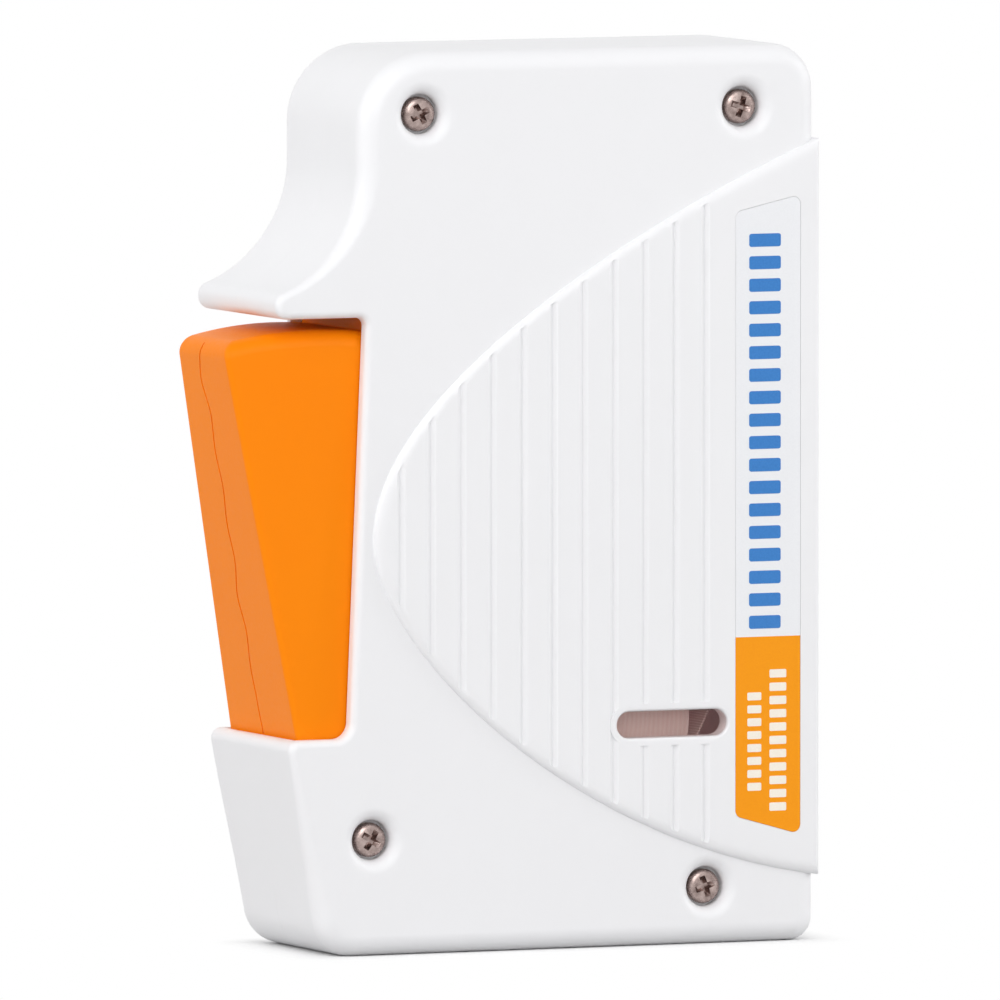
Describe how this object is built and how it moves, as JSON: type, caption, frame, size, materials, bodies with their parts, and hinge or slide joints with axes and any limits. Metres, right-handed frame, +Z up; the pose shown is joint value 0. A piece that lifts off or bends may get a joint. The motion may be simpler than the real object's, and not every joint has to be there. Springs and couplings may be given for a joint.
{
  "type": "fibre optic cleaning cassette",
  "caption": "Hand-held cassette with a press lever that winds cleaning tape past a shuttered window for wiping optical connector end faces.",
  "frame": {"origin": "middle of the overall box, at the level of the bottom edge that the cassette stands on", "axes": "+Z up along the height, front face to -Y, press lever to -X, cleaning window to +X"},
  "size_m": [0.0903, 0.032, 0.13],
  "materials": {
    "case_white": "satin moulded",
    "lever_orange": "satin moulded",
    "label_film": "printed film, satin",
    "pane_smoke": "smoked clear",
    "screw_steel": "zinc plated",
    "pin_steel": "ground",
    "spring_steel": "drawn wire",
    "gear_acetal": "satin moulded",
    "spool_plastic": "satin moulded",
    "guide_plastic": "satin moulded",
    "fresh_tape": "woven microfibre",
    "used_tape": "woven microfibre",
    "felt": "pressed felt",
    "pad_rubber": "soft sponge"
  },
  "bodies": {
    "housing": {"front_cover": "case_white", "rear_cover": "case_white", "case_screws": "screw_steel", "label": "label_film", "sight_pane": "pane_smoke", "lever_pin": "pin_steel", "return_spring": "spring_steel", "supply_brake": "felt", "tape_run": "fresh_tape", "guide_pins": "pin_steel", "cleaning_pad": "pad_rubber", "pad_holder": "spool_plastic", "slot_guide": "guide_plastic"},
    "lever": {"lever": "lever_orange", "bell_crank": "gear_acetal"},
    "shutter": {"shutter": "guide_plastic"},
    "pinion": {"drive_pinion": "gear_acetal", "clutch_ring": "pin_steel"},
    "takeup": {"takeup_spool": "spool_plastic", "takeup_tape": "used_tape"},
    "supply": {"supply_spool": "spool_plastic", "supply_tape": "fresh_tape"}
  },
  "joints": [
    {"name": "lever_press", "type": "hinge", "parent": "housing", "child": "lever", "pos_m": [-0.03035, 0, 0.027], "axis": [0, 1, 0], "range_deg": [0, 10], "stiffness_Nm_per_rad": 1, "springref_deg": -17.19, "deforming": ["return_spring"]},
    {"name": "shutter_slide", "type": "slide", "parent": "housing", "child": "shutter", "axis": [0, 0, -1], "range_m": [0, 0.01166]},
    {"name": "pinion_spin", "type": "hinge", "parent": "housing", "child": "pinion", "pos_m": [0.01315, 0, 0.09414], "axis": [0, 1, 0], "range_deg": [-70, 0]},
    {"name": "takeup_spin", "type": "hinge", "parent": "housing", "child": "takeup", "pos_m": [0.01315, 0, 0.09414], "axis": [0, 1, 0], "range_deg": [-70, 0]},
    {"name": "supply_spin", "type": "hinge", "parent": "housing", "child": "supply", "pos_m": [0.00715, 0, 0.033], "axis": [0, 1, 0], "range_deg": [-43.1, 0]}
  ],
  "couplings": [
    {"joint": "shutter_slide", "follows": "lever_press", "m_per_rad": 0.066805},
    {"joint": "pinion_spin", "follows": "lever_press", "ratio": -7},
    {"joint": "takeup_spin", "follows": "lever_press", "ratio": -7},
    {"joint": "supply_spin", "follows": "lever_press", "ratio": -4.3077}
  ]
}
